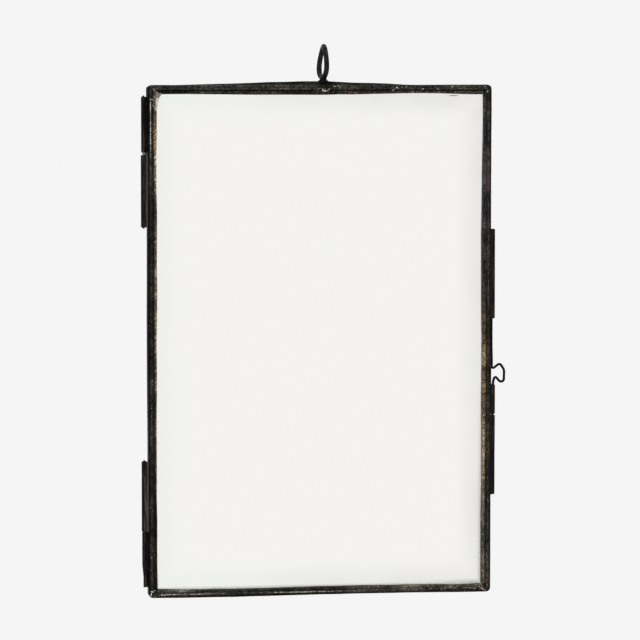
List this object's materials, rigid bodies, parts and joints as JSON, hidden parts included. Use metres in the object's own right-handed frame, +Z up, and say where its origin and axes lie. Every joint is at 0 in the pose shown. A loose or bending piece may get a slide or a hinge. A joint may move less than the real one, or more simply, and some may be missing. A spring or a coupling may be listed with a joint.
{
  "type": "floating frame",
  "caption": "Hinged floating frame: two clear glass panes in soldered dark metal edging, with barrel hinges, a sliding wire pin latch and a wire hanging ring.",
  "frame": {"origin": "centre of the hanging ring, where a hook or nail carries the frame", "axes": "+X to the right seen from the front, +Y towards the wall behind, +Z up"},
  "size_m": [0.2184, 0.0214, 0.3267],
  "materials": {
    "clear_glass": "clear float glass with a faint green cut edge",
    "edging": "black patina over folded brass sheet, rubbed through to tan and gold along the lip and ridge",
    "rolled_tube": "black patina over rolled sheet, satin",
    "solder": "tin solder, blackened, with bright filed spots",
    "wire": "drawn iron wire, blackened, satin"
  },
  "bodies": {
    "back_frame": {"back_glass": "clear_glass", "back_top_rail": "edging", "back_bottom_rail": "edging", "back_left_rail": "edging", "back_right_rail": "edging", "back_corner_solder": "solder", "upper_hinge_outer_knuckle": "rolled_tube", "lower_hinge_outer_knuckle": "rolled_tube", "upper_hinge_pin": "wire", "lower_hinge_pin": "wire", "upper_latch_tube": "rolled_tube", "latch_guide_tube": "rolled_tube", "hanging_ring": "wire", "ring_solder": "solder"},
    "front_door": {"front_glass": "clear_glass", "front_top_rail": "edging", "front_bottom_rail": "edging", "front_left_rail": "edging", "front_right_rail": "edging", "front_corner_solder": "solder", "upper_hinge_inner_knuckle": "rolled_tube", "lower_hinge_inner_knuckle": "rolled_tube", "latch_keeper_tube": "rolled_tube"},
    "latch_pin": {"latch_pin": "wire"}
  },
  "joints": [
    {"name": "door_hinge", "type": "hinge", "parent": "back_frame", "child": "front_door", "pos_m": [-0.1076, -0.0017, -0.166], "axis": [0, 0, -1], "range_deg": [0, 220]},
    {"name": "latch_slide", "type": "slide", "parent": "back_frame", "child": "latch_pin", "axis": [0, 0, 1], "range_m": [-0.0024, 0.016]}
  ]
}
